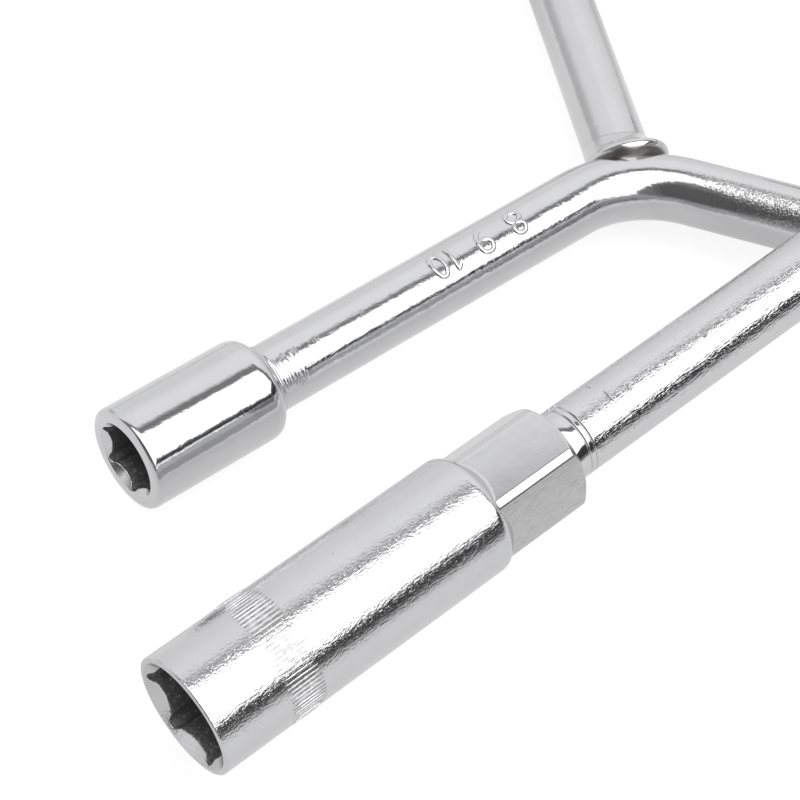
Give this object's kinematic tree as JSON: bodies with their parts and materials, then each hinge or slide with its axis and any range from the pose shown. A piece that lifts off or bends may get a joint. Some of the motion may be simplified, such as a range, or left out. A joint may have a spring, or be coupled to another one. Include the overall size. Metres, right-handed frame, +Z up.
{
  "type": "y wrench",
  "caption": "Chromed Y socket wrench with welded round arms, lying flat, with a loose T-handled spark plug wrench resting across an arm.",
  "frame": {"origin": "centre of the footprint of both tools, on the floor", "axes": "+Z up from the floor; +X away from the mouth of the 10 mm arm, along the plug wrench towards its cross handle; +Y towards the 8 mm arm's side"},
  "size_m": [0.2166, 0.2002, 0.0304],
  "materials": {
    "rod": "polished chrome plate, slightly pitted",
    "weld": "plated weld bead",
    "socket": "polished chrome plate",
    "braze": "plated filler ring",
    "plug_body": "polished chrome plate with fine scratches",
    "plug_rod": "polished chrome plate, worn"
  },
  "bodies": {
    "y_wrench": {"bent_bar": "rod", "third_arm": "rod", "junction_weld": "weld", "socket_10mm": "socket", "socket_9mm": "socket", "socket_8mm": "socket", "braze_ring_10mm": "braze", "braze_ring_9mm": "braze", "braze_ring_8mm": "braze"},
    "plug_wrench": {"plug_socket": "plug_body", "plug_bar": "plug_rod", "cross_handle": "plug_rod", "handle_weld": "weld"}
  },
  "joints": [
    {"name": "plug_lift", "type": "slide", "parent": "y_wrench", "child": "plug_wrench", "axis": [0, 0, 1], "range_m": [0, 0.08]}
  ]
}
